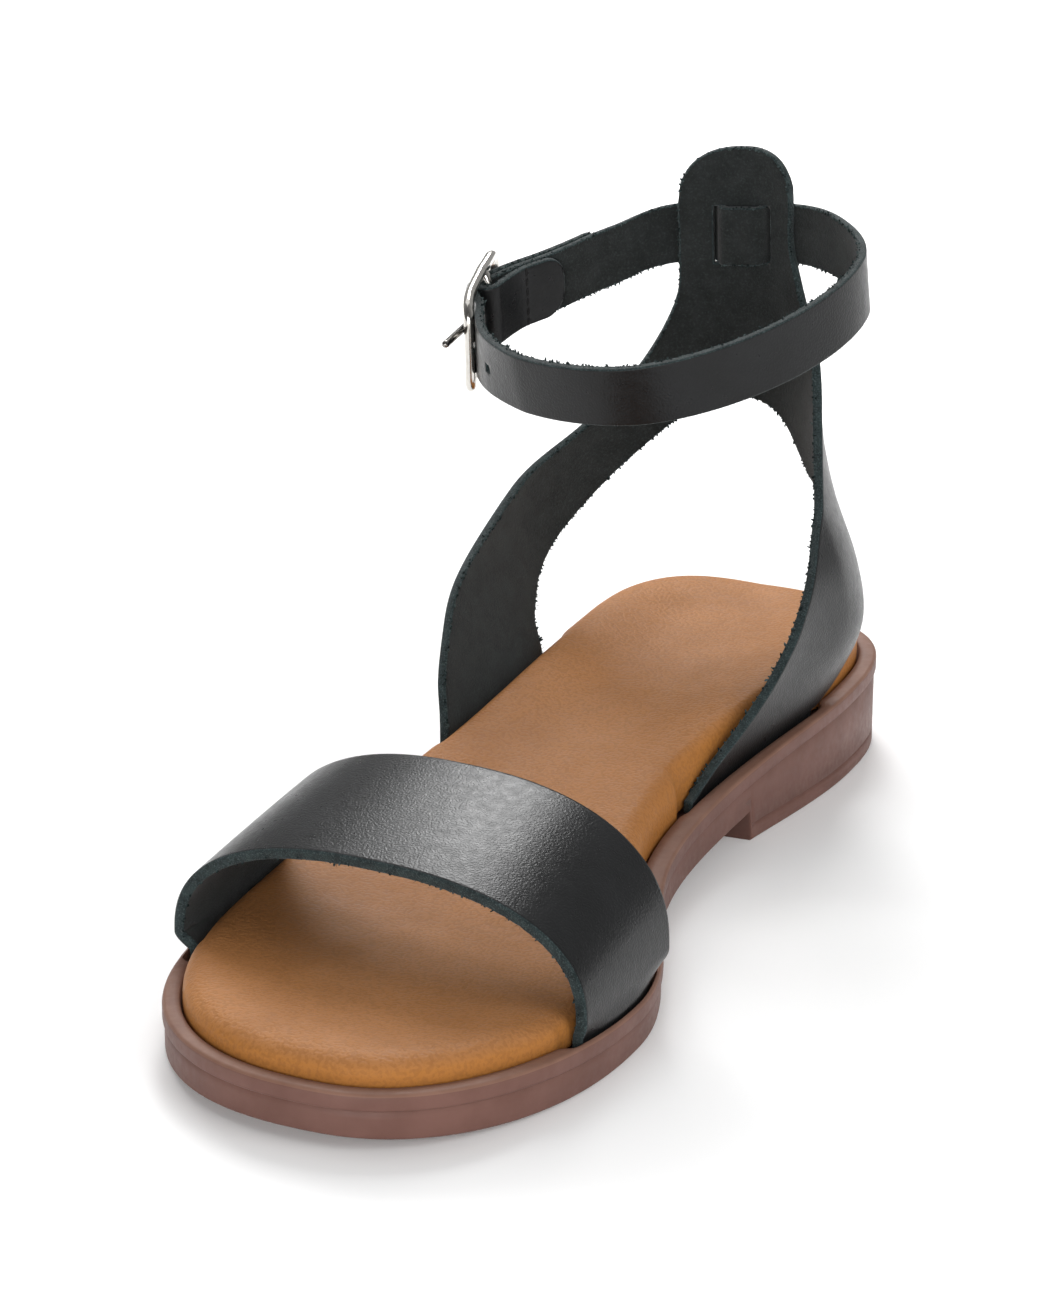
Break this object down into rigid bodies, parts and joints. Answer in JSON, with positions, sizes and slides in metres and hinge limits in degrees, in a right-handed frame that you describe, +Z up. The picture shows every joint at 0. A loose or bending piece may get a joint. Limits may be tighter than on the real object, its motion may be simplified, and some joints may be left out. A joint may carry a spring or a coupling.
{
  "type": "flat sandal",
  "caption": "Flat right sandal with a moulded low-heel sole, padded insole, wide toe band, wishbone heel quarter and a buckled ankle strap woven through its tab.",
  "frame": {"origin": "middle of the whole box, on the floor", "axes": "-Y towards the toe, +Y towards the heel, +X towards the inner side of the foot, +Z up"},
  "size_m": [0.0964, 0.255, 0.1295],
  "materials": {
    "sole_rubber": "matte mauve brown",
    "insole_leather": "soft tan, fine grain",
    "strap_leather": "black, satin, fine grain",
    "buckle_nickel": "polished nickel"
  },
  "bodies": {
    "root": {"outsole": "sole_rubber", "insole": "insole_leather", "front_band": "strap_leather", "heel_quarter": "strap_leather", "ankle_strap": "strap_leather", "buckle_frame": "buckle_nickel", "buckle_prong": "buckle_nickel"}
  },
  "joints": []
}
